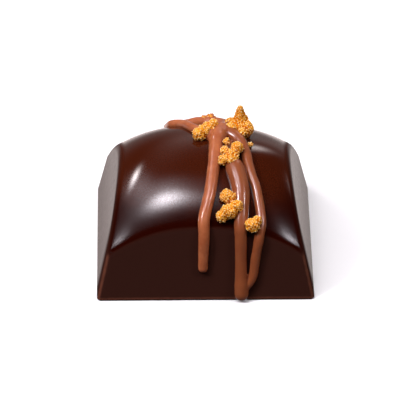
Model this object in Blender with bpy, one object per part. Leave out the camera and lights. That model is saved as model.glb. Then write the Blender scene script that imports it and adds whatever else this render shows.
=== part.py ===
import math
import random

import bmesh
import bpy
from mathutils import Matrix, Vector

MM = 0.001

# Moulded body: a square block with drafted walls under a dome
BASE_SIDE = 28.0 * MM
HALF_SIDE = BASE_SIDE / 2
DOME_HEIGHT = 16.3 * MM
WALL_DRAFT = 0.225
CORNER_RADIUS = 0.55 * MM
FOOT_RADIUS = 0.35 * MM

# How far the dome has fallen at the walls, and how square its shoulders are
FALL_SIDEWAYS = 5.6 * MM
FALL_FORWARD = 9.25 * MM
SHOULDER_SIDEWAYS = 2.5
SHOULDER_FORWARD = 1.9
CORNER_EASE = 0.44

# Rounding of the ridge where the dome meets a wall
RIDGE_FRONT = 0.25 * MM
RIDGE_SIDE = 0.7 * MM
RIDGE_SEARCH_STEPS = 50

# Distance over which the dome's slope is taken
SLOPE_STEP = 0.05 * MM

# Density of the body's mesh
FLAT_STEPS = 12
CORNER_STEPS = 2
FOOT_STEPS = 2
WALL_STEPS = 3
RIDGE_STEPS = 2
DOME_STEPS = 9

# Piped drizzle: the middle line of a strand lies this share of its radius above the body
STRAND_LIFT = 0.25
STRAND_SIDES = 8
STRAND_SPACING = 0.9 * MM
TIP_STEPS = 3
TIP_BLUNTNESS = 0.4
WELD_DISTANCE = 0.01 * MM

# Toffee crumbs, rough balls that a peak draws up to a point
CRUMB_ROUGHNESS = 0.16
CRUMB_SUBDIVISIONS = 2
PEAK_TAPER = 0.4

SHARP_ANGLE = math.radians(35)


def clear_scene():
    for item in list(bpy.data.objects):
        bpy.data.objects.remove(item)


def plain_material(name, colour, roughness):
    material = bpy.data.materials.new(name)
    material.use_nodes = True
    shader = material.node_tree.nodes["Principled BSDF"]
    shader.inputs["Base Color"].default_value = (*colour, 1.0)
    shader.inputs["Roughness"].default_value = roughness
    shader.inputs["Metallic"].default_value = 0.0
    return material


def make_collection(name):
    collection = bpy.data.collections.new(name)
    bpy.context.scene.collection.children.link(collection)
    return collection


def wall_reach(z):
    """Distance of a wall from the middle at height z."""
    return HALF_SIDE - WALL_DRAFT * z


def dome_height(x, y):
    sideways = abs(x) / HALF_SIDE
    forward = abs(y) / HALF_SIDE
    fall_sideways = FALL_SIDEWAYS * (1 - CORNER_EASE * forward ** 2) * sideways ** SHOULDER_SIDEWAYS
    fall_forward = FALL_FORWARD * forward ** SHOULDER_FORWARD
    return DOME_HEIGHT - fall_sideways - fall_forward


def ring_places():
    """Quarter, share along the flat side and share of the corner's turn, once round the block."""
    places = []
    for quarter in range(4):
        for step in range(FLAT_STEPS):
            places.append((quarter, 2 * step / FLAT_STEPS - 1, 0.0))
        for step in range(CORNER_STEPS):
            places.append((quarter, 1.0, step / CORNER_STEPS))
    return places


def wall_point(place, z, inset=0.0):
    """Point of the rounded square that the walls make at height z."""
    quarter, along, turn = place
    flat = wall_reach(z) - CORNER_RADIUS
    radius = CORNER_RADIUS - inset
    angle = turn * math.pi / 2
    x = flat + radius * math.cos(angle)
    y = along * flat + radius * math.sin(angle)
    return Matrix.Rotation(quarter * math.pi / 2, 3, "Z") @ Vector((x, y, z))


def ridge_point(place):
    """Where the wall would meet the dome with no rounding, found by closing in on it."""
    z = DOME_HEIGHT / 2
    for _ in range(RIDGE_SEARCH_STEPS):
        corner = wall_point(place, z)
        z = (z + dome_height(corner.x, corner.y)) / 2
    return wall_point(place, z)


def ridge_rounding(place):
    """The ridge is sharp over the front and back walls and soft over the side walls."""
    quarter, _, turn = place
    over_side_wall = quarter % 2 == 0
    here, next_wall = (RIDGE_SIDE, RIDGE_FRONT) if over_side_wall else (RIDGE_FRONT, RIDGE_SIDE)
    return here + (next_wall - here) * turn


def body_rings():
    places = ring_places()
    ridges = [ridge_point(place) for place in places]
    roundings = [ridge_rounding(place) for place in places]
    rings = []

    for step in range(FOOT_STEPS):
        angle = step / FOOT_STEPS * math.pi / 2
        z = FOOT_RADIUS * (1 - math.cos(angle))
        inset = FOOT_RADIUS * (1 - math.sin(angle))
        rings.append([wall_point(place, z, inset) for place in places])

    wall_tops = [ridge.z - rounding for ridge, rounding in zip(ridges, roundings)]
    for step in range(WALL_STEPS + 1):
        share = step / WALL_STEPS
        rings.append([wall_point(place, FOOT_RADIUS + (top - FOOT_RADIUS) * share)
                      for place, top in zip(places, wall_tops)])

    starts = rings[-1]
    ends = []
    for ridge, rounding in zip(ridges, roundings):
        share = 1 - rounding / ridge.xy.length
        x, y = ridge.x * share, ridge.y * share
        ends.append(Vector((x, y, dome_height(x, y))))
    for step in range(1, RIDGE_STEPS + 1):
        t = step / RIDGE_STEPS
        rings.append([start * (1 - t) ** 2 + ridge * 2 * t * (1 - t) + end * t ** 2
                      for start, ridge, end in zip(starts, ridges, ends)])

    for step in range(1, DOME_STEPS):
        share = 1 - step / DOME_STEPS
        rings.append([Vector((end.x * share, end.y * share, dome_height(end.x * share, end.y * share)))
                      for end in ends])
    return rings


def loft_body(name):
    """Skin over the rings, with a flat foot and a fan at the top."""
    bm = bmesh.new()
    rings = [[bm.verts.new(point) for point in ring] for ring in body_rings()]
    top = bm.verts.new((0, 0, DOME_HEIGHT))
    count = len(rings[0])
    bm.faces.new(reversed(rings[0]))
    for lower, upper in zip(rings, rings[1:]):
        for i in range(count):
            j = (i + 1) % count
            bm.faces.new((lower[i], lower[j], upper[j], upper[i]))
    for i in range(count):
        bm.faces.new((rings[-1][i], rings[-1][(i + 1) % count], top))
    mesh = bpy.data.meshes.new(name)
    bm.to_mesh(mesh)
    bm.free()
    return bpy.data.objects.new(name, mesh)


def skin_normal(x, y):
    """Outward direction of the dome, from its slopes."""
    slope_x = (dome_height(x + SLOPE_STEP, y) - dome_height(x - SLOPE_STEP, y)) / (2 * SLOPE_STEP)
    slope_y = (dome_height(x, y + SLOPE_STEP) - dome_height(x, y - SLOPE_STEP)) / (2 * SLOPE_STEP)
    return Vector((-slope_x, -slope_y, 1)).normalized()


def on_dome(x, y, above=0.0):
    """Point over the dome, all in millimetres, with its outward direction."""
    x, y = x * MM, y * MM
    normal = skin_normal(x, y)
    return Vector((x, y, dome_height(x, y))) + normal * above * MM, normal


def on_front(x, z, above=0.0):
    """Point before the front wall, all in millimetres, with its outward direction."""
    normal = Vector((0, -1, WALL_DRAFT)).normalized()
    return Vector((x * MM, -wall_reach(z * MM), z * MM)) + normal * above * MM, normal


def strand_line(stations):
    """Smooth line through the stations, each a place with its direction and a radius in millimetres."""
    middles = []
    radii = []
    for (point, normal), radius in stations:
        middles.append(point + normal * radius * STRAND_LIFT * MM)
        radii.append(radius * MM)
    last = len(middles) - 1
    line = []
    for i in range(last):
        around = [max(i - 1, 0), i, i + 1, min(i + 2, last)]
        p0, p1, p2, p3 = (middles[k] for k in around)
        steps = max(1, round((p2 - p1).length / STRAND_SPACING))
        for step in range(steps):
            t = step / steps
            bend = p1 * 2 + (p2 - p0) * t + (p0 * 2 - p1 * 5 + p2 * 4 - p3) * t ** 2 \
                + (p1 * 3 - p0 - p2 * 3 + p3) * t ** 3
            line.append((bend / 2, radii[i] + (radii[i + 1] - radii[i]) * t))
    line.append((middles[-1], radii[-1]))
    return line


def round_tip(line):
    """Adds a round end to a line."""
    end, radius = line[-1]
    onward = (end - line[-2][0]).normalized()
    tip = []
    for step in range(1, TIP_STEPS + 1):
        angle = step / (TIP_STEPS + TIP_BLUNTNESS) * math.pi / 2
        tip.append((end + onward * radius * math.sin(angle), radius * math.cos(angle)))
    return line + tip


def make_strand(name, stations, collection):
    line = round_tip(strand_line(stations))
    curve = bpy.data.curves.new(name, "CURVE")
    curve.dimensions = "3D"
    curve.bevel_depth = 1.0
    curve.bevel_resolution = (STRAND_SIDES - 4) // 2
    curve.use_fill_caps = True
    spline = curve.splines.new("POLY")
    spline.points.add(len(line) - 1)
    for point, (position, radius) in zip(spline.points, line):
        point.co = (*position, 1)
        point.radius = radius
    guide = bpy.data.objects.new(name + " line", curve)
    collection.objects.link(guide)
    bpy.context.view_layer.update()

    evaluated = guide.evaluated_get(bpy.context.evaluated_depsgraph_get())
    mesh = bpy.data.meshes.new_from_object(evaluated)
    bm = bmesh.new()
    bm.from_mesh(mesh)
    bmesh.ops.remove_doubles(bm, verts=bm.verts, dist=WELD_DISTANCE)
    bmesh.ops.recalc_face_normals(bm, faces=bm.faces)
    bm.to_mesh(mesh)
    bm.free()
    strand = bpy.data.objects.new(name, mesh)
    strand.matrix_world = guide.matrix_world
    bpy.data.objects.remove(guide)
    collection.objects.link(strand)


def drizzle_strands():
    """Each strand runs from where it starts on top to its tip."""
    return {
        "left strand": [
            (on_dome(2.3, 1.6), 1.0), (on_dome(1.72, -0.9), 1.16), (on_dome(1.5, -2.3), 0.98),
            (on_dome(1.4, -3.6), 0.92), (on_dome(1.15, -5.2), 0.8), (on_dome(0.62, -8.4), 0.79),
            (on_dome(-0.15, -10.9), 0.77), (on_front(-0.2, 8.6), 0.73), (on_front(-0.3, 5.8), 0.66),
            (on_front(-0.35, 4.4), 0.62)],
        "middle strand": [
            (on_dome(2.9, -1.2, -0.45), 0.8), (on_dome(3.25, -4.1, -0.55), 0.85),
            (on_dome(3.85, -5.6, -0.05), 1.2), (on_dome(4.52, -8.2), 1.14), (on_dome(4.5, -11.3), 0.9),
            (on_front(4.5, 8.2), 0.8), (on_front(4.5, 5.6), 0.74), (on_front(4.52, 3.4), 0.78),
            (on_front(4.55, 2.0), 0.89), (on_front(4.58, 0.97), 0.9)],
        "right strand": [
            (on_dome(2.4, 1.2, 0.1), 0.98), (on_dome(3.35, 0.15, 0.12), 0.93),
            (on_dome(4.35, -0.95, 0.1), 0.82), (on_dome(5.15, -2.65), 0.69), (on_dome(5.6, -4.8), 0.66),
            (on_dome(6.05, -6.3), 0.65), (on_dome(6.55, -7.6), 0.63), (on_dome(7.1, -10.6), 0.64),
            (on_front(6.85, 8.4), 0.66), (on_front(6.4, 5.8), 0.62), (on_front(6.0, 3.2), 0.61),
            (on_front(5.1, 1.8), 0.56)],
        "lower crossing": [
            (on_dome(1.75, -0.9), 0.95), (on_dome(0.85, -0.25), 0.9), (on_dome(-0.1, 0.45), 0.76),
            (on_dome(-0.9, 1.15, 0.05), 0.66), (on_dome(-1.6, 2.15, 0.08), 0.6),
            (on_dome(-2.3, 3.6, 0.1), 0.6), (on_dome(-3.1, 4.9, 0.12), 0.6), (on_dome(-4.0, 5.6, 0.1), 0.62),
            (on_dome(-4.45, 7.1), 0.56), (on_dome(-4.65, 8.8), 0.55), (on_dome(-4.6, 10.6), 0.52)],
        "upper crossing": [
            (on_dome(2.3, -0.6, 0.05), 0.8), (on_dome(2.55, 0.6, 0.12), 0.95), (on_dome(2.9, 2.3, 0.1), 0.85),
            (on_dome(2.38, 3.92, 0.08), 0.76), (on_dome(1.0, 5.4, 0.12), 0.74), (on_dome(0.0, 5.6, 0.1), 0.74),
            (on_dome(-0.8, 5.5, 0.15), 0.7), (on_dome(-2.2, 5.3), 0.62), (on_dome(-3.4, 5.4), 0.56)],
    }


def make_lump(name, place, size, turn, seed, collection, peak=0.0):
    """Rough grain of toffee: a ball with uneven facets, stretched to size and turned, in millimetres."""
    rng = random.Random(seed)
    point, _ = place
    bm = bmesh.new()
    bmesh.ops.create_icosphere(bm, subdivisions=CRUMB_SUBDIVISIONS, radius=1.0)
    for vert in bm.verts:
        vert.co *= 1 + rng.uniform(-CRUMB_ROUGHNESS, CRUMB_ROUGHNESS)
        rise = max(0.0, vert.co.z)
        vert.co.x *= 1 - peak * PEAK_TAPER * rise
        vert.co.y *= 1 - peak * PEAK_TAPER * rise
        vert.co.z += peak * rise ** 2
    half = Vector(size) / 2 * MM
    shape = Matrix.LocRotScale(point, Matrix.Rotation(math.radians(turn), 3, "Y"), half)
    bmesh.ops.transform(bm, matrix=shape, verts=bm.verts)
    mesh = bpy.data.meshes.new(name)
    bm.to_mesh(mesh)
    bm.free()
    collection.objects.link(bpy.data.objects.new(name, mesh))


def crumb_lumps():
    """Name: place of the middle, width, depth and height, turn in the plane of the front, peak."""
    return {
        "long crumb low end": (on_dome(-0.66, -0.6, 0.65), (1.7, 1.6, 1.7), -35, 0.0),
        "long crumb middle": (on_dome(-0.1, -0.25, 0.75), (1.8, 1.7, 1.9), -35, 0.0),
        "long crumb high end": (on_dome(0.6, 0.55, 0.9), (1.8, 1.6, 1.7), -35, 0.0),
        "long crumb tip": (on_dome(1.1, 1.2, 1.05), (1.5, 1.4, 1.4), 0, 0.0),
        "long crumb bump": (on_dome(0.25, 1.5, 0.9), (0.8, 0.8, 0.8), 0, 0.0),
        "tall crumb": (on_dome(4.45, 1.5, 1.14), (2.7, 2.3, 2.8), 0, 1.0),
        "tall crumb right": (on_dome(5.3, 0.9, 0.9), (1.8, 1.8, 2.4), 10, 0.0),
        "tall crumb middle": (on_dome(4.5, 1.0, 1.1), (1.9, 1.7, 1.8), 0, 0.0),
        "tall crumb left tip": (on_dome(3.3, 2.0, 1.2), (1.3, 1.2, 1.1), 0, 0.0),
        "tall crumb left": (on_dome(3.35, 0.6, 1.1), (1.5, 1.3, 1.2), 0, 0.0),
        "tall crumb low end": (on_dome(4.75, -0.05, 0.9), (1.3, 1.2, 1.3), 0, 0.0),
        "forked crumb right": (on_dome(3.98, -3.15, 1.10), (1.6, 1.5, 1.6), 20, 0.0),
        "forked crumb right heel": (on_dome(3.65, -3.9, 1.05), (1.2, 1.1, 1.1), 0, 0.0),
        "forked crumb left": (on_dome(2.55, -3.65, 0.95), (1.3, 1.2, 1.2), 0, 0.0),
        "forked crumb middle": (on_dome(3.2, -4.15, 1.05), (1.3, 1.2, 1.2), -30, 0.0),
        "forked crumb foot": (on_dome(2.3, -4.9, 0.9), (1.5, 1.3, 1.3), -25, 0.0),
        "forked crumb low end": (on_dome(3.2, -4.85, 1.0), (1.5, 1.3, 1.3), 0, 0.0),
        "forked crumb heel": (on_dome(3.60, -4.45, 1.00), (1.2, 1.2, 1.1), 0, 0.0),
        "left grain": (on_dome(2.75, -2.4, 1.1), (0.8, 0.8, 0.95), 0, 0.0),
        "right grain": (on_dome(5.8, -1.5, 0.3), (0.8, 0.7, 0.8), 0, 0.0),
        "round crumb": (on_dome(2.8, -8.95, 0.8), (1.9, 1.8, 1.9), 10, 0.0),
        "round crumb tip": (on_dome(3.55, -8.95, 0.75), (0.9, 0.9, 0.9), 10, 0.0),
        "slanted crumb low end": (on_dome(2.1, -10.85, 0.7), (1.6, 1.5, 1.6), -35, 0.0),
        "slanted crumb middle": (on_dome(3.0, -10.4, 0.85), (2.3, 1.8, 1.9), -35, 0.0),
        "slanted crumb high end": (on_dome(3.8, -9.95, 1.0), (1.9, 1.6, 1.75), -35, 0.0),
        "pointed crumb": (on_dome(5.85, -11.45, 0.9), (2.0, 1.8, 1.9), 30, 0.0),
        "pointed crumb tip": (on_dome(6.35, -11.05, 1.0), (1.3, 1.2, 1.3), 30, 0.3),
        "covered crumb left": (on_dome(0.15, 5.6, 0.82), (1.1, 1.0, 0.8), 0, 0.0),
        "covered crumb right": (on_dome(0.92, 5.72, 0.93), (1.4, 1.1, 0.9), 0, 0.0),
    }


def fuse(body, toppings):
    """Joins the drizzle and the crumbs to the body and drops what stays loose or sealed in."""
    union = body.modifiers.new("Toppings", "BOOLEAN")
    union.operation = "UNION"
    union.operand_type = "COLLECTION"
    union.collection = toppings
    union.solver = "MANIFOLD"
    bpy.context.view_layer.update()
    evaluated = body.evaluated_get(bpy.context.evaluated_depsgraph_get())
    mesh = bpy.data.meshes.new_from_object(evaluated)
    body.modifiers.remove(union)
    body.data = mesh
    for item in list(toppings.objects):
        bpy.data.objects.remove(item)
    bpy.data.collections.remove(toppings)

    bm = bmesh.new()
    bm.from_mesh(mesh)
    bmesh.ops.triangulate(bm, faces=bm.faces)
    left = set(bm.faces)
    shells = []
    while left:
        shell = set()
        waiting = [left.pop()]
        while waiting:
            face = waiting.pop()
            shell.add(face)
            for edge in face.edges:
                for other in edge.link_faces:
                    if other in left:
                        left.remove(other)
                        waiting.append(other)
        shells.append(shell)
    shells.sort(key=len)
    for shell in shells[:-1]:
        bmesh.ops.delete(bm, geom=list(shell), context="FACES")
    bm.to_mesh(mesh)
    bm.free()


def build():
    clear_scene()
    praline_collection = make_collection("chocolate praline")
    toppings = make_collection("toppings")
    body = loft_body("praline")
    body.data.materials.append(plain_material("dark chocolate", (0.045, 0.012, 0.007), 0.3))
    praline_collection.objects.link(body)
    for name, stations in drizzle_strands().items():
        make_strand(name, stations, toppings)
    for seed, (name, (place, size, turn, peak)) in enumerate(crumb_lumps().items()):
        make_lump(name, place, size, turn, seed, toppings, peak)
    fuse(body, toppings)
    body.data.shade_smooth()
    body.data.set_sharp_from_angle(angle=SHARP_ANGLE)


build()
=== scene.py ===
import math
import random

import bmesh
import bpy
import numpy as np
from mathutils import Matrix, Vector, noise


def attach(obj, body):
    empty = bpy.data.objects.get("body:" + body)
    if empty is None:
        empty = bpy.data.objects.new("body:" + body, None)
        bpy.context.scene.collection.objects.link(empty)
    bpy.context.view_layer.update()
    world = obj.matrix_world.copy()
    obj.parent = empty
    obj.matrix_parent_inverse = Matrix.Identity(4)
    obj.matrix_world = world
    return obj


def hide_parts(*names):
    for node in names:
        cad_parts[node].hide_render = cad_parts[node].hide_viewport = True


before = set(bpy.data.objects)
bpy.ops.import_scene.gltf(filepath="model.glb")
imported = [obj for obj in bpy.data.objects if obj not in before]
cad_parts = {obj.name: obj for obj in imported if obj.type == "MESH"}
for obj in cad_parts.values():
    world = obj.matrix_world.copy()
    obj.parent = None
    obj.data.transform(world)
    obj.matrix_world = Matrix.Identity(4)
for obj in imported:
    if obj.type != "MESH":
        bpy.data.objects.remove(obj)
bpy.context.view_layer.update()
mm = 0.001


# One number in a node tree, so that sums of them read as sums
class Number:
    def __init__(self, graph, socket):
        self.graph = graph
        self.socket = socket

    def combine(self, operation, first, second):
        return self.graph.add("ShaderNodeMath", {"operation": operation}, {0: first, 1: second})

    def __add__(self, other):
        return self.combine("ADD", self, other)

    def __radd__(self, other):
        return self.combine("ADD", other, self)

    def __sub__(self, other):
        return self.combine("SUBTRACT", self, other)

    def __rsub__(self, other):
        return self.combine("SUBTRACT", other, self)

    def __mul__(self, other):
        return self.combine("MULTIPLY", self, other)

    def __rmul__(self, other):
        return self.combine("MULTIPLY", other, self)


# A node tree being filled in
class Graph:
    def __init__(self, tree):
        self.tree = tree

    def feed(self, socket, value):
        if isinstance(value, Number):
            self.tree.links.new(value.socket, socket)
        else:
            socket.default_value = value

    # Any node: its settings first, then its sockets by name or number
    def add(self, kind, settings, sockets, out=0):
        node = self.tree.nodes.new(kind)
        for key, value in settings.items():
            setattr(node, key, value)
        for key, value in sockets.items():
            self.feed(node.inputs[key], value)
        return Number(self, node.outputs[out])

    def noise(self, place, size, detail=2.0, roughness=0.5):
        return self.add("ShaderNodeTexNoise", {},
                        {"Vector": place, "Scale": 1 / size, "Detail": detail, "Roughness": roughness})

    def step(self, value, low, high):
        return self.add("ShaderNodeMapRange", {"interpolation_type": "SMOOTHSTEP"},
                        {"Value": value, "From Min": low, "From Max": high})

    def blend(self, share, first, second):
        return self.add("ShaderNodeMix", {"data_type": "RGBA"}, {0: share, 6: first, 7: second}, out=2)

    def stretch(self, place, scale):
        return self.add("ShaderNodeMapping", {}, {"Vector": place, "Scale": scale})

    # About 1, more where a noise is high and less where it is low
    def vary(self, noise, amount):
        return 1 + (noise - 0.5) * amount

    def bump(self, height, distance, under=None):
        sockets = {"Height": height, "Distance": distance}
        if under is not None:
            sockets["Normal"] = under
        return self.add("ShaderNodeBump", {}, sockets)

    def dot(self, first, second):
        return self.add("ShaderNodeVectorMath", {"operation": "DOT_PRODUCT"}, {0: first, 1: second}, out=1)

    def attribute(self, name):
        return self.add("ShaderNodeAttribute", {"attribute_name": name}, {}, out=2)

    def objectPlace(self):
        return self.add("ShaderNodeTexCoord", {}, {}, out=3)


def intoScene(thing):
    bpy.context.scene.collection.objects.link(thing)


def newMaterial(name):
    material = bpy.data.materials.new(name)
    material.use_nodes = True
    return material, Graph(material.node_tree), material.node_tree.nodes["Principled BSDF"].inputs


# The moulded body, in millimetres: a square block with leaning walls under a dome
shell = {
    "baseSide": 28.0,
    "domeHeight": 16.3,
    "wallLean": 0.225,
    "cornerRadius": 0.55,
    "footRadius": 0.35,
    "fallSideways": 5.6,
    "fallForward": 9.25,
    "shoulderSideways": 2.5,
    "shoulderForward": 1.9,
    "cornerEase": 0.44,
    "ridgeFront": 0.25,
    "ridgeSide": 0.7,
    "flatSteps": 64,
    "cornerSteps": 8,
    "footSteps": 6,
    "wallSteps": 22,
    "ridgeSteps": 9,
    "domeSteps": 60,
    "ridgeRounds": 50,
    "rimHeight": 0.33,    # of the painted highlight line round the foot
    "rimGlow": 0.25,
    "creaseGlow": 0.4,    # how strongly the painted highlight runs along the front and back ridges
    "sharpAngle": 60,
}


def wallReach(z):
    return shell["baseSide"] / 2 - shell["wallLean"] * z


def domeHeight(x, y):
    sideways = abs(x) / (shell["baseSide"] / 2)
    forward = abs(y) / (shell["baseSide"] / 2)
    ease = 1 - shell["cornerEase"] * forward ** 2
    fallSideways = shell["fallSideways"] * ease * sideways ** shell["shoulderSideways"]
    return shell["domeHeight"] - fallSideways - shell["fallForward"] * forward ** shell["shoulderForward"]


# Once round the block: quarter, share along the flat side, share of the corner's turn
def ringPlaces():
    places = []
    for quarter in range(4):
        for step in range(shell["flatSteps"]):
            places.append((quarter, 2 * step / shell["flatSteps"] - 1, 0.0))
        for step in range(shell["cornerSteps"]):
            places.append((quarter, 1.0, step / shell["cornerSteps"]))
    return places


def wallPoint(place, z, inset=0.0):
    quarter, along, turn = place
    flat = wallReach(z) - shell["cornerRadius"]
    radius = shell["cornerRadius"] - inset
    angle = turn * math.pi / 2
    corner = Vector((flat + radius * math.cos(angle), along * flat + radius * math.sin(angle), z))
    return Matrix.Rotation(quarter * math.pi / 2, 3, "Z") @ corner


def ridgePoint(place):
    z = shell["domeHeight"] / 2
    for _ in range(shell["ridgeRounds"]):
        corner = wallPoint(place, z)
        z = (z + domeHeight(corner.x, corner.y)) / 2
    return wallPoint(place, z)


# How much a place belongs to the front and back walls, from 0 on a side wall to 1
def frontShare(place):
    quarter, _, turn = place
    return turn if quarter % 2 == 0 else 1 - turn


# Each ring with the share of the wall in it, from 1 on the walls to 0 on the dome
def shellRings(places):
    ridges = [ridgePoint(place) for place in places]
    roundings = [shell["ridgeSide"] + (shell["ridgeFront"] - shell["ridgeSide"]) * frontShare(place)
                 for place in places]
    foot = shell["footRadius"]
    rings = []
    for step in range(shell["footSteps"]):
        angle = step / shell["footSteps"] * math.pi / 2
        inset = foot * (1 - math.sin(angle))
        z = foot * (1 - math.cos(angle))
        rings.append((1.0, [wallPoint(place, z, inset) for place in places]))
    tops = [ridge.z - rounding for ridge, rounding in zip(ridges, roundings)]
    for step in range(shell["wallSteps"] + 1):
        share = step / shell["wallSteps"]
        rings.append((1.0, [wallPoint(place, foot + (top - foot) * share)
                            for place, top in zip(places, tops)]))
    starts = rings[-1][1]
    ends = []
    for ridge, rounding in zip(ridges, roundings):
        share = 1 - rounding / ridge.xy.length
        x, y = ridge.x * share, ridge.y * share
        ends.append(Vector((x, y, domeHeight(x, y))))
    for step in range(1, shell["ridgeSteps"] + 1):
        t = step / shell["ridgeSteps"]
        rings.append((1 - t, [start * (1 - t) ** 2 + ridge * 2 * t * (1 - t) + end * t ** 2
                              for start, ridge, end in zip(starts, ridges, ends)]))
    for step in range(1, shell["domeSteps"]):
        share = 1 - step / shell["domeSteps"]
        inner = [(end.x * share, end.y * share) for end in ends]
        rings.append((0.0, [Vector((x, y, domeHeight(x, y))) for x, y in inner]))
    return rings


def makeShell(name):
    places = ringPlaces()
    fronts = [frontShare(place) for place in places]
    bm = bmesh.new()
    wallLayer = bm.verts.layers.float.new("wall")
    frontLayer = bm.verts.layers.float.new("front")
    rimLayer = bm.verts.layers.float.new("rim")
    inlandLayer = bm.verts.layers.float.new("inland")    # mm in from the walls
    behindLayer = bm.verts.layers.float.new("behind")    # mm back from the front wall
    rings = []
    for wallShare, points in shellRings(places):
        ring = []
        for point, front, place in zip(points, fronts, places):
            vert = bm.verts.new(point * mm)
            vert[wallLayer] = wallShare
            vert[frontLayer] = front
            # The rim share says where a painted highlight line runs: up the rounded corners, in a band just
            # above the foot and along the front and back ridges
            upEdge = math.sin(place[2] * math.pi) * wallShare
            lowEdge = math.exp(-((point.z - shell["rimHeight"]) / shell["rimGlow"]) ** 2)
            crease = 4 * wallShare * (1 - wallShare) * front * shell["creaseGlow"]
            vert[rimLayer] = max(upEdge, lowEdge, crease)
            vert[inlandLayer] = wallReach(point.z) - max(abs(point.x), abs(point.y))
            vert[behindLayer] = wallReach(point.z) + point.y
            ring.append(vert)
        rings.append(ring)
    top = bm.verts.new((0, 0, shell["domeHeight"] * mm))
    count = len(places)
    bm.faces.new(reversed(rings[0]))
    for lower, upper in zip(rings, rings[1:]):
        for i in range(count):
            j = (i + 1) % count
            bm.faces.new((lower[i], lower[j], upper[j], upper[i]))
    for i in range(count):
        bm.faces.new((rings[-1][i], rings[-1][(i + 1) % count], top))
    mesh = bpy.data.meshes.new(name)
    bm.to_mesh(mesh)
    bm.free()
    mesh.shade_smooth()
    mesh.set_sharp_from_angle(angle=math.radians(shell["sharpAngle"]))
    return bpy.data.objects.new(name, mesh)


darkFinish = {
    # dome colours: the darker one is both painted shade on the lower dome and a random darker tone
    "dome": (0.040, 0.0062, 0.0016),
    "domeShadeAndDeepTone": (0.0150, 0.0013, 0.0004),
    "wall": (0.037, 0.0122, 0.0084),
    # colour of the painted highlight along the rounded edges
    "rim": (0.112, 0.037, 0.022),
    "rimRange": (0.35, 1.1),
    "rimMottle": 0.8,
    "gloss": 0.108,              # roughness of the polished skin
    "innerRoughness": 0.5,
    "roughnessMottle": 0.15,
    "sideGloss": 0.465,
    "edgeFade": (0.32, 0.85),    # mm from the walls over which the dome's gloss comes in
    "cornerFade": (1.2, 4.4),    # mm back from the front over which a side wall's gloss comes in
    "frontGloss": 0.04,
    # heights over which painted shade low on the dome gives way to painted light near the top
    "paintedShadeBelow": 9.3 * mm,
    "paintedLightAbove": 13.5 * mm,
    "dullBelow": 1.0 * mm,
    "glossyAbove": 11.0 * mm,
    "footDulling": 0.3,
    "warmthMottle": 0.5,
    "grainSize": 0.13 * mm,
    "speckle": 0.7,
    "speckleSize": 0.2 * mm,
    "mottleSize": 0.9 * mm,
    "cloudSize": 5.0 * mm,
    "streakSize": 0.16 * mm,
    "streakSquash": 0.04,        # upward, so that the drag marks run tall
    "streakContrast": 0.8,
    "waveDepth": 0.03 * mm,
    "grainDepth": 0.006 * mm,
    "streakDepth": 0.004 * mm,
}


def darkChocolate():
    material, g, shader = newMaterial("dark chocolate")
    place = g.objectPlace()
    height = g.add("ShaderNodeSeparateXYZ", {}, {"Vector": place}, out=2)
    wall = g.attribute("wall")
    front = g.attribute("front")
    rim = g.attribute("rim")
    inland = g.attribute("inland")
    behind = g.attribute("behind")
    frontWall = wall * front
    sideWall = wall * (1 - front)

    cloud = g.noise(place, darkFinish["cloudSize"], detail=3.0)
    mottle = g.noise(place, darkFinish["mottleSize"], detail=4.0, roughness=0.6)
    grain = g.noise(place, darkFinish["grainSize"], detail=2.0, roughness=0.6)
    speckle = g.noise(place, darkFinish["speckleSize"], detail=1.0)
    tall = g.stretch(place, (1.0, 1.0, darkFinish["streakSquash"]))
    streaks = g.noise(tall, darkFinish["streakSize"], detail=3.0)

    # Painted shade and light: the dome is darker low down, where it faces forward, and lighter and warmer
    # towards the top, mixed with a random tone
    domeLightAndTone = g.step(height, darkFinish["paintedShadeBelow"], darkFinish["paintedLightAbove"])
    domeLightAndTone = domeLightAndTone + (cloud + mottle + grain - 1.5) * darkFinish["warmthMottle"]
    domeColour = g.blend(g.step(domeLightAndTone, 0.0, 1.0), (*darkFinish["domeShadeAndDeepTone"], 1), (*darkFinish["dome"], 1))
    body = g.blend(wall, domeColour, (*darkFinish["wall"], 1))
    # Painted highlight: a lighter line along the rounded corners, the foot and the ridges
    edgeHighlight = g.step(rim * g.vary(mottle, darkFinish["rimMottle"]), *darkFinish["rimRange"])
    g.feed(shader["Base Color"], g.blend(edgeHighlight, body, (*darkFinish["rim"], 1)))

    rising = g.step(height, darkFinish["dullBelow"], darkFinish["glossyAbove"])
    sideShine = 1 - (1 - rising) * darkFinish["footDulling"]
    sideShine = sideShine * g.vary(streaks, darkFinish["streakContrast"])
    sideShine = sideShine * g.step(behind, *darkFinish["cornerFade"])
    domeShine = (1 - wall) * g.step(inland, *darkFinish["edgeFade"])
    domeShine = domeShine * g.vary(speckle, darkFinish["speckle"])
    g.feed(shader["Coat Weight"], domeShine + frontWall * darkFinish["frontGloss"]
           + sideWall * sideShine * darkFinish["sideGloss"])
    g.feed(shader["Roughness"], darkFinish["innerRoughness"] + (mottle - 0.5) * darkFinish["roughnessMottle"])

    waves = g.bump(cloud, darkFinish["waveDepth"])
    fine = g.bump(grain, darkFinish["grainDepth"], under=waves)
    g.feed(shader["Normal"], g.bump(streaks * sideWall, darkFinish["streakDepth"], under=fine))
    shader["Coat Roughness"].default_value = darkFinish["gloss"]
    shader["Specular IOR Level"].default_value = 0.0
    return material


# Milk chocolate piped over the top, in millimetres
drizzle = {
    "lift": 0.25,
    "spacing": 0.25,
    "sides": 28,
    "tipSteps": 8,
    "tipBlunt": 0.3,
    "wobble": 0.03,
    "wobbleLength": 1.6,
    "voxel": 0.086,
    "melt": 5,
    "hollowGain": 2.5,
    "valleyGain": 9.0,
    "valleyRounds": 14,
    "seed": 4,
}


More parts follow.
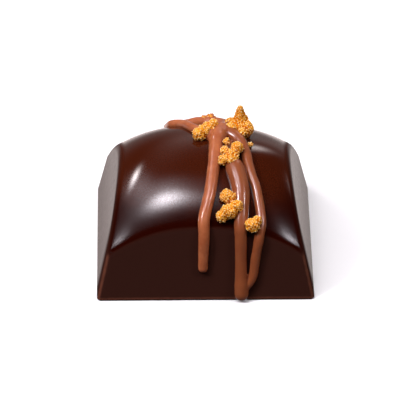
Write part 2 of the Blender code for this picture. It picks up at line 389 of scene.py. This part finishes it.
def skinNormal(x, y):
    reach = 0.05
    slopeX = (domeHeight(x + reach, y) - domeHeight(x - reach, y)) / (2 * reach)
    slopeY = (domeHeight(x, y + reach) - domeHeight(x, y - reach)) / (2 * reach)
    return Vector((-slopeX, -slopeY, 1)).normalized()


def onDome(x, y, above=0.0):
    normal = skinNormal(x, y)
    return Vector((x, y, domeHeight(x, y))) + normal * above, normal


def onFront(x, z):
    return Vector((x, -wallReach(z), z)), Vector((0, -1, shell["wallLean"])).normalized()


# Each strand's stations: where it passes, and its radius there
def drizzleStrands():
    return [
        [(onDome(2.3, 1.6), 1.0), (onDome(1.72, -0.9), 1.16), (onDome(1.5, -2.3), 0.98),
         (onDome(1.4, -3.6), 0.92), (onDome(1.15, -5.2), 0.8), (onDome(0.62, -8.4), 0.79),
         (onDome(-0.15, -10.9), 0.77),
         (onFront(-0.2, 8.6), 0.73), (onFront(-0.3, 5.8), 0.66), (onFront(-0.35, 4.4), 0.62)],
        [(onDome(2.9, -1.2, -0.45), 0.8), (onDome(3.25, -4.1, -0.55), 0.85), (onDome(3.85, -5.6, -0.05), 1.2),
         (onDome(4.52, -8.2), 1.14), (onDome(4.5, -11.3), 0.9), (onFront(4.5, 8.2), 0.8),
         (onFront(4.5, 5.6), 0.74), (onFront(4.52, 3.4), 0.78), (onFront(4.55, 2.0), 0.89),
         (onFront(4.58, 0.97), 0.9)],
        [(onDome(2.4, 1.2, 0.1), 0.98), (onDome(3.35, 0.15, 0.12), 0.93), (onDome(4.35, -0.95, 0.1), 0.82),
         (onDome(5.15, -2.65), 0.69),
         (onDome(5.6, -4.8), 0.66), (onDome(6.05, -6.3), 0.65), (onDome(6.55, -7.6), 0.63),
         (onDome(7.1, -10.6), 0.64),
         (onFront(6.85, 8.4), 0.66), (onFront(6.4, 5.8), 0.62), (onFront(6.0, 3.2), 0.61),
         (onFront(5.1, 1.8), 0.56)],
        [(onDome(1.75, -0.9), 0.95), (onDome(0.85, -0.25), 0.9), (onDome(-0.1, 0.45), 0.76),
         (onDome(-0.9, 1.15, 0.05), 0.66), (onDome(-1.6, 2.15, 0.08), 0.6), (onDome(-2.3, 3.6, 0.1), 0.6),
         (onDome(-3.1, 4.9, 0.12), 0.6), (onDome(-4.0, 5.6, 0.1), 0.62), (onDome(-4.45, 7.1), 0.56),
         (onDome(-4.65, 8.8), 0.55), (onDome(-4.6, 10.6), 0.52)],
        [(onDome(2.3, -0.6, 0.05), 0.8), (onDome(2.55, 0.6, 0.12), 0.95), (onDome(2.9, 2.3, 0.1), 0.85),
         (onDome(2.38, 3.92, 0.08), 0.76), (onDome(1.0, 5.4, 0.12), 0.74), (onDome(0.0, 5.6, 0.1), 0.74),
         (onDome(-0.8, 5.5, 0.15), 0.7), (onDome(-2.2, 5.3), 0.62), (onDome(-3.4, 5.4), 0.56)],
    ]


# A smooth line through the stations, with a round tip, as (place, radius)
def strandLine(stations, number):
    middles = [point + normal * radius * drizzle["lift"] for (point, normal), radius in stations]
    radii = [radius for _, radius in stations]
    last = len(middles) - 1
    line = []
    for i in range(last):
        p0, p1, p2, p3 = (middles[k] for k in (max(i - 1, 0), i, i + 1, min(i + 2, last)))
        steps = max(1, round((p2 - p1).length / drizzle["spacing"]))
        for step in range(steps):
            t = step / steps
            bend = (p1 * 2 + (p2 - p0) * t + (p0 * 2 - p1 * 5 + p2 * 4 - p3) * t ** 2
                    + (p1 * 3 - p0 - p2 * 3 + p3) * t ** 3)
            ease = t * t * (3 - 2 * t)
            line.append((bend / 2, radii[i] + (radii[i + 1] - radii[i]) * ease))
    line.append((middles[-1], radii[-1]))
    shift = Vector((drizzle["seed"], number, 0))
    line = [(point, radius * (1 + drizzle["wobble"] * noise.noise(point / drizzle["wobbleLength"] + shift)))
            for point, radius in line]
    end, radius = line[-1]
    onward = (end - line[-2][0]).normalized()
    for step in range(1, drizzle["tipSteps"] + 1):
        angle = step / (drizzle["tipSteps"] + drizzle["tipBlunt"]) * math.pi / 2
        line.append((end + onward * radius * math.sin(angle), radius * math.cos(angle)))
    return line


# A new tree with named inputs, given as {name: socket type}, and those inputs as numbers
def newTree(name, inputs):
    tree = bpy.data.node_groups.new(name, "GeometryNodeTree")
    tree.interface.new_socket("Geometry", in_out="INPUT", socket_type="NodeSocketGeometry")
    for key, kind in inputs.items():
        tree.interface.new_socket(key, in_out="INPUT", socket_type=kind)
    tree.interface.new_socket("Geometry", in_out="OUTPUT", socket_type="NodeSocketGeometry")
    graph = Graph(tree)
    entry = tree.nodes.new("NodeGroupInput")
    given = {socket.name: Number(graph, socket) for socket in entry.outputs if socket.name}
    return tree, graph, given


def endTree(graph, result, material):
    realized = graph.add("GeometryNodeRealizeInstances", {}, {"Geometry": result})
    finished = graph.add("GeometryNodeSetMaterial", {}, {"Geometry": realized, "Material": material})
    graph.feed(graph.tree.nodes.new("NodeGroupOutput").inputs[0], finished)


# The tree's result as a plain mesh, in a new object that takes the name
def grow(name, guide, tree, values):
    intoScene(guide)
    modifier = guide.modifiers.new("nodes", "NODES")
    modifier.node_group = tree
    for item in tree.interface.items_tree:
        if item.in_out == "INPUT" and item.name in values:
            modifier[item.identifier] = values[item.name]
    bpy.context.view_layer.update()
    mesh = bpy.data.meshes.new_from_object(guide.evaluated_get(bpy.context.evaluated_depsgraph_get()))
    guide.modifiers.remove(modifier)
    bpy.data.objects.remove(guide)
    mesh.name = name
    return bpy.data.objects.new(name, mesh)


# Runs the pieces of a mesh together, as melted sugar or chocolate does
def meltTogether(thing, voxel, rounds, factor=0.5):
    intoScene(thing)
    material = thing.data.materials[-1]
    remesh = thing.modifiers.new("remesh", "REMESH")
    remesh.mode = "VOXEL"
    remesh.voxel_size = voxel * mm
    smooth = thing.modifiers.new("smooth", "SMOOTH")
    smooth.factor = factor
    smooth.iterations = rounds
    bpy.context.view_layer.update()
    mesh = bpy.data.meshes.new_from_object(thing.evaluated_get(bpy.context.evaluated_depsgraph_get()))
    thing.modifiers.clear()
    old = thing.data
    thing.data = mesh
    bpy.data.meshes.remove(old)
    mesh.name = thing.name
    mesh.materials.clear()
    mesh.materials.append(material)
    mesh.shade_smooth()
    bpy.context.scene.collection.objects.unlink(thing)


# What a mesh stores for each of its items, one row each
def numbersFrom(items, key, width, kind=float):
    numbers = np.empty(len(items) * width, dtype=kind)
    items.foreach_get(key, numbers)
    return numbers.reshape(-1, width)


def storeShares(mesh, key, shares):
    layer = mesh.attributes.new(key, "FLOAT", "POINT")
    layer.data.foreach_set("value", shares.astype(np.float32).ravel())


# Stores how hollow the surface is at each point: below 0.5 on tips, above it in creases.
# More rounds find wider hollows
def storeHollows(mesh, key, gain, rounds=2):
    places = numbersFrom(mesh.vertices, "co", 3)
    normals = numbersFrom(mesh.vertex_normals, "vector", 3)
    edges = numbersFrom(mesh.edges, "vertices", 2, np.int64)
    neighbours = np.bincount(edges.ravel(), minlength=len(places))[:, None]
    lengths = np.linalg.norm(places[edges[:, 0]] - places[edges[:, 1]], axis=1).mean()

    def around(values):
        total = np.zeros_like(values)
        np.add.at(total, edges[:, 0], values[edges[:, 1]])
        np.add.at(total, edges[:, 1], values[edges[:, 0]])
        return total / np.maximum(neighbours, 1)

    hollow = ((around(places) - places) * normals).sum(axis=1, keepdims=True) / lengths
    for _ in range(rounds):
        hollow = (hollow + around(hollow)) / 2
    storeShares(mesh, key, np.clip(0.5 + hollow * gain, 0, 1))


# Stores how far the surface turns down: 0 on top, 1 below
def storeUnderside(mesh):
    storeShares(mesh, "under", 0.5 - numbersFrom(mesh.vertex_normals, "vector", 3)[:, 2] / 2)


milkFinish = {
    "light": (0.41, 0.125, 0.047),
    "dark": (0.315, 0.084, 0.031),
    "shade": (0.215, 0.057, 0.019),
    "shadeAcross": (1.6 * mm, 3.4 * mm),    # from left to right, where the painted shade comes in
    "shadeShare": 0.85,
    # painted shade in the creases and the valleys between strands
    "crease": (0.12, 0.024, 0.008),
    "creaseRange": (0.58, 0.9),
    "valleyRange": (0.55, 0.95),
    "valleyShare": 0.7,
    "roughness": 0.23,
    "roughnessMottle": 0.15,
    "grainSize": 0.14 * mm,
    "grainDepth": 0.006 * mm,
    "mottleSize": 1.3 * mm,
    "mottleRange": (0.3, 0.7),
    "mottleDepth": 0.05 * mm,
    "subsurface": 0.12,
    "subsurfaceReach": (1.0, 0.4, 0.2),
    "subsurfaceScale": 0.4 * mm,
}


def milkChocolate():
    material, g, shader = newMaterial("milk chocolate")
    place = g.objectPlace()
    mottle = g.noise(place, milkFinish["mottleSize"], detail=4.0, roughness=0.55)
    grain = g.noise(place, milkFinish["grainSize"], detail=2.0)
    hollow = g.attribute("hollow")
    valley = g.attribute("valley")
    crease = (*milkFinish["crease"], 1)
    mottled = g.step(mottle, *milkFinish["mottleRange"])
    colour = g.blend(mottled, (*milkFinish["dark"], 1), (*milkFinish["light"], 1))
    # Painted shade: the strands darken from left to right, away from the light
    shaded = g.step(g.dot(place, (1, 0, 0)), *milkFinish["shadeAcross"]) * milkFinish["shadeShare"]
    colour = g.blend(shaded, colour, (*milkFinish["shade"], 1))
    # Painted shade: darker in the creases and in the wider valleys
    colour = g.blend(g.step(valley, *milkFinish["valleyRange"]) * milkFinish["valleyShare"], colour, crease)
    g.feed(shader["Base Color"], g.blend(g.step(hollow, *milkFinish["creaseRange"]), colour, crease))
    g.feed(shader["Roughness"], milkFinish["roughness"] + (mottle - 0.5) * milkFinish["roughnessMottle"])
    soft = g.bump(mottle, milkFinish["mottleDepth"])
    g.feed(shader["Normal"], g.bump(grain, milkFinish["grainDepth"], under=soft))
    shader["Subsurface Weight"].default_value = milkFinish["subsurface"]
    shader["Subsurface Radius"].default_value = milkFinish["subsurfaceReach"]
    shader["Subsurface Scale"].default_value = milkFinish["subsurfaceScale"]
    return material


# The strands are swept by nodes along lines whose points carry their radius
def makeDrizzle(name, material):
    places, edges, radii = [], [], []
    for number, stations in enumerate(drizzleStrands()):
        line = strandLine(stations, number)
        first = len(places)
        places += [point * mm for point, _ in line]
        radii += [radius * mm for _, radius in line]
        edges += [(first + i, first + i + 1) for i in range(len(line) - 1)]
    mesh = bpy.data.meshes.new(name + " lines")
    mesh.from_pydata(places, edges, [])
    mesh.attributes.new("strandRadius", "FLOAT", "POINT").data.foreach_set("value", radii)

    tree, g, given = newTree("piped strands", {"Sides": "NodeSocketInt"})
    curve = g.add("GeometryNodeMeshToCurve", {}, {"Mesh": given["Geometry"]})
    radius = g.add("GeometryNodeInputNamedAttribute", {"data_type": "FLOAT"}, {"Name": "strandRadius"})
    circle = g.add("GeometryNodeCurvePrimitiveCircle", {}, {"Resolution": given["Sides"], "Radius": 1.0})
    swept = g.add("GeometryNodeCurveToMesh", {},
                  {"Curve": curve, "Profile Curve": circle, "Scale": radius, "Fill Caps": True})
    endTree(g, swept, material)
    strands = grow(name, bpy.data.objects.new("strand lines", mesh), tree, {"Sides": drizzle["sides"]})
    meltTogether(strands, drizzle["voxel"], drizzle["melt"])
    storeHollows(strands.data, "hollow", drizzle["hollowGain"])
    storeHollows(strands.data, "valley", drizzle["valleyGain"], drizzle["valleyRounds"])
    return strands


# Toffee crumbs, in millimetres: rough lumps that small grains cover
crumbs = {
    "peakTaper": 0.4,
    "facetCut": 0.88,    # share of a ball's radius at which its slanting sides are flat
    "facetSquash": 0.6,
    "facetReach": 1.536,
    "facetSpin": 0.35,
    "bendSize": 1.1,
    "bendDepth": 0.09,
    "chunkSize": 0.75,
    "chunkLevel": 0.5,
    "chunkDepth": 0.14,
    "knobSize": 0.29,
    "knobLevel": 0.42,
    "knobDepth": 0.27,
    "grainGap": 0.2,
    "grainDensity": 40.0,
    "grainRadius": 0.1,
    "grainScale": (0.6, 1.5),
    "voxel": 0.056,
    "melt": 1,
    "meltFactor": 0.35,
    "hollowGain": 1.6,
    "pitGain": 6.0,
    "pitRounds": 12,
    "ballDetail": 5,
    "noiseShift": 7,     # between lumps, so that no two are alike
    "seed": 11,
}


# Each lump's middle over the dome, its size, its turn in degrees and how far its top is drawn out
def crumbLumps():
    return [
        (onDome(-0.66, -0.60, 0.65), (1.7, 1.6, 1.7), -35, 0.0),
        (onDome(-0.10, -0.25, 0.75), (1.8, 1.7, 1.9), -35, 0.0),
        (onDome(0.60, 0.55, 0.90), (1.8, 1.6, 1.7), -35, 0.0),
        (onDome(1.10, 1.20, 1.05), (1.5, 1.4, 1.4), 0, 0.0),
        (onDome(0.25, 1.50, 0.90), (0.8, 0.8, 0.8), 0, 0.0),
        (onDome(4.45, 1.50, 1.14), (2.7, 2.3, 2.8), 0, 1.0),
        (onDome(5.30, 0.90, 0.90), (1.8, 1.8, 2.4), 10, 0.0),
        (onDome(4.50, 1.00, 1.10), (1.9, 1.7, 1.8), 0, 0.0),
        (onDome(3.30, 2.00, 1.20), (1.3, 1.2, 1.1), 0, 0.0),
        (onDome(3.35, 0.60, 1.10), (1.5, 1.3, 1.2), 0, 0.0),
        (onDome(4.75, -0.05, 0.90), (1.3, 1.2, 1.3), 0, 0.0),
        (onDome(3.98, -3.15, 1.10), (1.6, 1.5, 1.6), 20, 0.0),
        (onDome(3.65, -3.90, 1.05), (1.2, 1.1, 1.1), 0, 0.0),
        (onDome(2.55, -3.65, 0.95), (1.3, 1.2, 1.2), 0, 0.0),
        (onDome(3.20, -4.15, 1.05), (1.3, 1.2, 1.2), -30, 0.0),
        (onDome(2.30, -4.90, 0.90), (1.5, 1.3, 1.3), -25, 0.0),
        (onDome(3.20, -4.85, 1.00), (1.5, 1.3, 1.3), 0, 0.0),
        (onDome(3.60, -4.45, 1.00), (1.2, 1.2, 1.1), 0, 0.0),
        (onDome(2.75, -2.40, 1.10), (0.8, 0.8, 0.95), 0, 0.0),
        (onDome(5.80, -1.50, 0.30), (0.8, 0.7, 0.8), 0, 0.0),
        (onDome(2.80, -8.95, 0.80), (1.9, 1.8, 1.9), 10, 0.0),
        (onDome(3.55, -8.95, 0.75), (0.9, 0.9, 0.9), 10, 0.0),
        (onDome(2.10, -10.85, 0.70), (1.6, 1.5, 1.6), -35, 0.0),
        (onDome(3.00, -10.40, 0.85), (2.5, 1.9, 2.1), -35, 0.0),
        (onDome(3.80, -9.95, 1.00), (1.9, 1.6, 1.75), -35, 0.0),
        (onDome(5.85, -11.45, 0.90), (2.0, 1.8, 1.9), 30, 0.0),
        (onDome(6.35, -11.05, 1.00), (1.3, 1.2, 1.3), 30, 0.3),
        (onDome(0.15, 5.60, 0.82), (1.1, 1.0, 0.8), 0, 0.0),
        (onDome(0.92, 5.72, 0.93), (1.4, 1.1, 0.9), 0, 0.0),
    ]


def lumpMesh(name):
    noise.seed_set(crumbs["seed"])    # or the bends would follow the clock
    bm = bmesh.new()
    for seed, ((point, _), size, turn, peak) in enumerate(crumbLumps()):
        ball = bmesh.new()
        bmesh.ops.create_icosphere(ball, subdivisions=crumbs["ballDetail"], radius=1.0)
        shape = Matrix.LocRotScale(point, Matrix.Rotation(math.radians(turn), 3, "Y"), Vector(size) / 2)
        shift = Vector((seed * crumbs["noiseShift"], 0, 0))
        spin = Matrix.Rotation(random.Random(seed).uniform(-1, 1) * crumbs["facetSpin"], 3, "Y")
        for vert in ball.verts:
            facing = spin @ vert.co
            slant = abs(facing.x) + crumbs["facetSquash"] * abs(facing.y) + abs(facing.z)
            vert.co *= min(1.0, crumbs["facetCut"] * crumbs["facetReach"] / slant)
            rise = max(0.0, vert.co.z)
            narrow = 1 - peak * crumbs["peakTaper"] * rise
            place = shape @ Vector((vert.co.x * narrow, vert.co.y * narrow, vert.co.z + peak * rise ** 2))
            outward = (place - point).normalized()
            bend = noise.noise_vector((place + shift) / crumbs["bendSize"]) * crumbs["bendDepth"]
            chunk = crumbs["chunkLevel"] - noise.voronoi((place + shift) / crumbs["chunkSize"])[0][0]
            knob = crumbs["knobLevel"] - noise.voronoi((place + shift) / crumbs["knobSize"])[0][0]
            relief = chunk * crumbs["chunkDepth"] + knob * crumbs["knobDepth"]
            vert.co = (place + bend + outward * relief) * mm
        made = bpy.data.meshes.new("lump")
        ball.to_mesh(made)
        ball.free()
        bm.from_mesh(made)
        bpy.data.meshes.remove(made)
    mesh = bpy.data.meshes.new(name)
    bm.to_mesh(mesh)
    bm.free()
    return mesh


toffeeFinish = {
    "gold": (0.72, 0.312, 0.03),
    "amber": (0.68, 0.24, 0.012),
    # pale: painted highlight on the tips
    "pale": (0.83, 0.60, 0.27),
    # crease: painted shade in the crevices
    "crease": (0.33, 0.06, 0.002),
    # painted shade for the pits and the undersides
    "pitAndUndersideShade": (0.62, 0.15, 0.003),
    "glazed": (0.36, 0.115, 0.036),
    "glazedSpot": (0.6 * mm, 5.7 * mm, 16.3 * mm),    # the crumb that the crossing strands half cover
    "glazedReach": (1.6 * mm, 2.0 * mm),
    "glazedPatch": (0.35, 0.55),
    "goldRange": (0.35, 0.65),
    "pitShadeRange": (0.34, 0.6),
    "pitShadeUnder": 0.8,
    "paleRange": (0.2, 0.44),
    "paleGrain": 0.3,
    "creaseRange": (0.55, 0.85),
    "roughness": 0.5,
    "roughnessGrain": 0.5,
    "sparkle": 0.16,     # roughness of the glassy sugar on the tips
    "sparkleTip": 0.42,
    "sparkleFade": 0.15,
    "sparkleUnder": (0.45, 0.7),
    "patchSize": 0.7 * mm,
    "grainSize": 0.12 * mm,
    "grainDepth": 0.03 * mm,
    "subsurface": 0.25,
    "subsurfaceReach": (1.0, 0.6, 0.25),
    "subsurfaceScale": 0.5 * mm,
}


def toffee():
    material, g, shader = newMaterial("toffee crumb")
    place = g.objectPlace()
    patch = g.noise(place, toffeeFinish["patchSize"], detail=3.0)
    grain = g.noise(place, toffeeFinish["grainSize"], detail=3.0, roughness=0.6)
    hollow = g.attribute("hollow")
    pit = g.attribute("pit")
    under = g.attribute("under")
    golden = g.step(patch, *toffeeFinish["goldRange"])
    colour = g.blend(golden, (*toffeeFinish["amber"], 1), (*toffeeFinish["gold"], 1))
    # Painted shade: deep orange in the pits and on the undersides of the lumps
    dark = g.step(pit + (under - 0.5) * toffeeFinish["pitShadeUnder"], *toffeeFinish["pitShadeRange"])
    colour = g.blend(dark, colour, (*toffeeFinish["pitAndUndersideShade"], 1))
    # Painted highlight: paler on the tips, broken up by grain
    tip = g.step(0.5 - hollow + grain * toffeeFinish["paleGrain"], *toffeeFinish["paleRange"])
    colour = g.blend(tip, colour, (*toffeeFinish["pale"], 1))
    # Painted shade: darker in the creases
    colour = g.blend(g.step(hollow, *toffeeFinish["creaseRange"]), colour, (*toffeeFinish["crease"], 1))
    away = g.add("ShaderNodeVectorMath", {"operation": "DISTANCE"},
                 {0: place, 1: toffeeFinish["glazedSpot"]}, out=1)
    glaze = (1 - g.step(away, *toffeeFinish["glazedReach"])) * g.step(patch, *toffeeFinish["glazedPatch"])
    g.feed(shader["Base Color"], g.blend(glaze, colour, (*toffeeFinish["glazed"], 1)))
    g.feed(shader["Roughness"], toffeeFinish["roughness"] + (grain - 0.5) * toffeeFinish["roughnessGrain"])
    sugar = g.step(toffeeFinish["sparkleTip"] - hollow, 0.0, toffeeFinish["sparkleFade"])
    g.feed(shader["Coat Weight"], sugar * (1 - g.step(under, *toffeeFinish["sparkleUnder"])))
    g.feed(shader["Normal"], g.bump(grain, toffeeFinish["grainDepth"]))
    shader["Specular IOR Level"].default_value = 0.0
    shader["Coat Roughness"].default_value = toffeeFinish["sparkle"]
    shader["Subsurface Weight"].default_value = toffeeFinish["subsurface"]
    shader["Subsurface Radius"].default_value = toffeeFinish["subsurfaceReach"]
    shader["Subsurface Scale"].default_value = toffeeFinish["subsurfaceScale"]
    return material


# Grains scattered over the lumps by nodes, then all melted together
def makeCrumbs(name, material):
    tree, g, given = newTree("sugar grains", {
        "Gap": "NodeSocketFloat", "Density": "NodeSocketFloat", "Radius": "NodeSocketFloat",
        "Seed": "NodeSocketInt"})
    points = g.tree.nodes.new("GeometryNodeDistributePointsOnFaces")
    points.distribute_method = "POISSON"
    for socket, value in (("Mesh", given["Geometry"]), ("Distance Min", given["Gap"]),
                          ("Density Max", given["Density"]), ("Seed", given["Seed"])):
        g.feed(points.inputs[socket], value)
    grain = g.add("GeometryNodeMeshIcoSphere", {}, {"Radius": given["Radius"], "Subdivisions": 2})
    turn, size = (g.add("FunctionNodeRandomValue", {"data_type": "FLOAT_VECTOR"},
                        {0: (low,) * 3, 1: (high,) * 3, "Seed": given["Seed"]})
                  for low, high in ((0, 6.28), crumbs["grainScale"]))
    placed = g.add("GeometryNodeInstanceOnPoints", {}, {
        "Points": Number(g, points.outputs[0]), "Instance": grain, "Rotation": turn, "Scale": size})
    joined = g.tree.nodes.new("GeometryNodeJoinGeometry")
    g.feed(joined.inputs[0], given["Geometry"])
    g.feed(joined.inputs[0], placed)
    endTree(g, Number(g, joined.outputs[0]), material)
    guide = bpy.data.objects.new("crumb lumps", lumpMesh("crumb lumps"))
    made = grow(name, guide, tree, {
        "Gap": crumbs["grainGap"] * mm, "Density": crumbs["grainDensity"] / mm ** 2,
        "Radius": crumbs["grainRadius"] * mm, "Seed": crumbs["seed"]})
    meltTogether(made, crumbs["voxel"], crumbs["melt"], crumbs["meltFactor"])
    storeHollows(made.data, "hollow", crumbs["hollowGain"])
    storeHollows(made.data, "pit", crumbs["pitGain"], crumbs["pitRounds"])
    storeUnderside(made.data)
    return made


# The camera looks down on the front wall from a little to the left
view = {
    "elevation": 31.203,
    "turn": -0.765,
    "distance": 630.397,
    "focalPixels": 4856.737,
    "imagePixels": 400,
    "aim": (-0.545, 0.0, 6.63),
}


# The way out from the praline, by its turn from the front and its height in degrees
def wayOut(turn, height):
    turn, height = math.radians(turn), math.radians(height)
    return Vector((math.sin(turn) * math.cos(height), -math.cos(turn) * math.cos(height), math.sin(height)))


def makeCamera():
    back = wayOut(view["turn"], view["elevation"])
    camera = bpy.data.cameras.new("camera")
    camera.sensor_width = 36.0
    camera.lens = view["focalPixels"] / view["imagePixels"] * camera.sensor_width
    camera.clip_start = 0.01
    thing = bpy.data.objects.new("camera", camera)
    thing.location = (Vector(view["aim"]) + back * view["distance"]) * mm
    thing.rotation_euler = back.to_track_quat("Z", "Y").to_euler()
    intoScene(thing)
    bpy.context.scene.camera = thing


# Soft boxes round the praline, with feathered edges: turn from the front, height, half width, half height
# and tilt, all in degrees as seen from the praline, then the brightness
studio = {
    "main box": (-39.0, 66.8, 9.3, 3.8, 24.0, 26.5),
    "main box halo": (-57.6, 68.5, 14.5, 7.1, 41.0, 3.0),
    "left box": (-64.5, 43.0, 3.6, 0.8, 36.0, 690.0),
    "right box": (65.5, 43.5, 4.4, 1.0, -36.0, 235.0),
    "left strip": (-114.5, 48.2, 5.8, 2.0, 10.0, 33.0),
    "left trail": (-95.0, 56.0, 15.0, 6.0, 35.0, 2.6),
    "right strip": (116.0, 33.0, 6.0, 2.2, -25.0, 5.0),
    "back box": (176.0, 34.0, 12.9, 31.0, -30.0, 0.75),
    "back right box": (150.7, 40.0, 3.3, 10.0, -11.0, 6.8),
}
# Even glows low and behind, each with the range over which it comes in or fades
surround = {
    "dim": 0.01,
    "behindRange": (0.1, 0.8),
    "backGlow": 0.24,
    "backFade": (-0.1, 0.6),
    "lowGlow": 0.95,
    "lowFade": (-0.4, 0.0),
    "underGlow": 0.1,
    "underRange": (0.1, 0.4),
    "underFade": (-0.2, 0.3),
    "tintRange": (0.0, 0.5),
    "frontTint": (1.0, 0.95, 1.02, 1),
    "backTint": (1.0, 0.885, 0.86, 1),
}
# Sheets of light that only fill the shade: turn and height in degrees, distance and size in mm, brightness
fill = {
    "top sheet": (0, 90, 900, 900, 1.65),
    "front sheet": (-50, 32, 900, 500, 0.4),
}


def softBox(g, place, turn, height, halfWide, halfHigh, tilt, brightness):
    away = wayOut(turn, height)
    turn, tilt, halfWide, halfHigh = map(math.radians, (turn, tilt, halfWide, halfHigh))
    level = Vector((math.cos(turn), math.sin(turn), 0))
    wide = level * math.cos(tilt) + away.cross(level) * math.sin(tilt)
    along = g.dot(place, wide / math.sin(halfWide))
    across = g.dot(place, away.cross(wide) / math.sin(halfHigh))
    reach = (along * along + across * across) * -1
    feather = g.add("ShaderNodeMath", {"operation": "EXPONENT"}, {0: reach})
    return feather * g.step(g.dot(place, away), 0.0, 0.1) * brightness    # none on the far side


def makeSurround():
    world = bpy.data.worlds.new("studio")
    bpy.context.scene.world = world
    world.use_nodes = True
    g = Graph(world.node_tree)
    place = g.add("ShaderNodeTexCoord", {}, {}, out=0)
    behind = g.dot(place, (0, 1, 0))
    above = g.dot(place, (0, 0, 1))
    backward = g.step(behind, *surround["behindRange"])
    light = backward * (1 - g.step(above, *surround["backFade"])) * surround["backGlow"] + surround["dim"]
    light = light + backward * (1 - g.step(above, *surround["lowFade"])) * surround["lowGlow"]
    beneath = g.step(above * -1, *surround["underRange"]) * (1 - g.step(behind, *surround["underFade"]))
    light = light + beneath * surround["underGlow"]
    for box in studio.values():
        light = light + softBox(g, place, *box)
    tint = g.blend(g.step(behind, *surround["tintRange"]), surround["frontTint"], surround["backTint"])
    background = world.node_tree.nodes["Background"].inputs
    g.feed(background["Strength"], light)
    g.feed(background["Color"], tint)


def makeFill():
    for name, (turn, height, distance, size, brightness) in fill.items():
        away = wayOut(turn, height)
        light = bpy.data.lights.new(name, "AREA")
        light.size = size * mm
        light.energy = brightness * math.pi * (size * mm) ** 2
        thing = bpy.data.objects.new(name, light)
        thing.location = away * distance * mm
        thing.rotation_euler = away.to_track_quat("Z", "Y").to_euler()
        thing.visible_glossy = False
        intoScene(thing)


floorFinish = {
    "colour": (0.9, 0.9, 0.905),
    "roughness": 0.8,
    "shine": 0.2,
    "reach": 3000,
    "sides": 96,
}


def makeFloor():
    bm = bmesh.new()
    bmesh.ops.create_circle(bm, cap_ends=True, segments=floorFinish["sides"],
                            radius=floorFinish["reach"] * mm)
    mesh = bpy.data.meshes.new("floor")
    bm.to_mesh(mesh)
    bm.free()
    material, g, shader = newMaterial("pale paper")
    g.feed(shader["Base Color"], (*floorFinish["colour"], 1))
    shader["Roughness"].default_value = floorFinish["roughness"]
    shader["Specular IOR Level"].default_value = floorFinish["shine"]
    mesh.materials.append(material)
    thing = bpy.data.objects.new("floor", mesh)
    thing.visible_glossy = False
    thing.visible_diffuse = False
    intoScene(thing)


def countTriangles(thing):
    return sum(len(face.vertices) - 2 for face in thing.data.polygons)


makeCamera()
makeSurround()
makeFill()
makeFloor()
bpy.context.scene.view_settings.view_transform = "Standard"
print("camera, lights and floor ready")

darkShell = makeShell("darkShell")
darkShell.data.materials.append(darkChocolate())
print("shell:", countTriangles(darkShell), "triangles")
milkDrizzle = makeDrizzle("milkDrizzle", milkChocolate())
print("drizzle:", countTriangles(milkDrizzle), "triangles")
toffeeCrumbs = makeCrumbs("toffeeCrumbs", toffee())
print("crumbs:", countTriangles(toffeeCrumbs), "triangles")

for piece, slot in ((darkShell, "dark_chocolate"), (milkDrizzle, "milk_chocolate"),
                    (toffeeCrumbs, "toffee_crumb")):
    intoScene(piece)
    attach(piece, "root")
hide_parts("praline")
